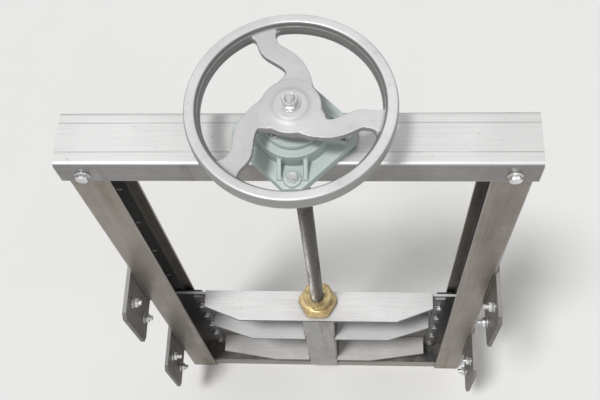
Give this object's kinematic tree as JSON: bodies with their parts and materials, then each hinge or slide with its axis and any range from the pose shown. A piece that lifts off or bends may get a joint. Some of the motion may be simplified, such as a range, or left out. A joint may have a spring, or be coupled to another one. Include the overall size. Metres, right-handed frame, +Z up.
{
  "type": "sluice gate",
  "caption": "Handwheel-operated sluice gate: folded steel frame with guide channels, ribbed sliding leaf, screw stem and bearing housing.",
  "frame": {"origin": "middle of the sill channel's flat underside", "axes": "+Z up along the stem, +X along the headstock beam, -Y to the ribbed side of the leaf"},
  "size_m": [0.766, 0.315, 1.405],
  "materials": {
    "post_steel": "satin folded steel plate, brushed lengthways",
    "beam_steel": "satin folded steel plate",
    "sill_steel": "folded steel plate with silt",
    "leaf_steel": "steel plate, welded and weathered",
    "bracket_steel": "dark mill finish",
    "stem_steel": "machined screw, greased",
    "wheel_iron": "light grey painted casting",
    "housing_paint": "pale grey-green paint over a casting",
    "nut_brass": "turned brass, dulled",
    "bush_bronze": "bearing bronze",
    "bright_zinc": "bright zinc plate",
    "seal_rubber": "black moulded rubber",
    "guide_plastic": "dense black slide strip"
  },
  "bodies": {
    "frame": {"left_post": "post_steel", "right_post": "post_steel", "headstock_beam": "beam_steel", "sill_channel": "sill_steel", "sill_seal": "seal_rubber", "left_front_guide": "guide_plastic", "left_back_guide": "guide_plastic", "right_front_guide": "guide_plastic", "right_back_guide": "guide_plastic", "left_upper_bracket": "bracket_steel", "left_lower_bracket": "bracket_steel", "right_upper_bracket": "bracket_steel", "right_lower_bracket": "bracket_steel", "bearing_housing": "housing_paint", "lower_bush": "bush_bronze", "bearing_gland": "housing_paint"},
    "spindle": {"stem": "stem_steel", "stem_collar": "stem_steel", "handwheel": "wheel_iron", "hub_washer": "bright_zinc", "hub_nut": "bright_zinc"},
    "leaf": {"leaf_plate": "leaf_steel", "leaf_top_plate": "leaf_steel", "left_middle_rib": "leaf_steel", "right_middle_rib": "leaf_steel", "left_lower_rib": "leaf_steel", "right_lower_rib": "leaf_steel", "left_side_seal": "seal_rubber", "right_side_seal": "seal_rubber", "left_clamp_bar": "leaf_steel", "right_clamp_bar": "leaf_steel", "stem_box": "leaf_steel", "lifting_nut": "nut_brass"}
  },
  "joints": [
    {"name": "wheel_turn", "type": "hinge", "parent": "frame", "child": "spindle", "pos_m": [0, 0, 1.28], "axis": [0, 0, 1], "range_deg": [0, 24000]},
    {"name": "leaf_lift", "type": "slide", "parent": "frame", "child": "leaf", "axis": [0, 0, 1], "range_m": [0, 0.4]}
  ],
  "couplings": [
    {"joint": "leaf_lift", "follows": "wheel_turn", "m_per_rad": 0.00095493}
  ]
}
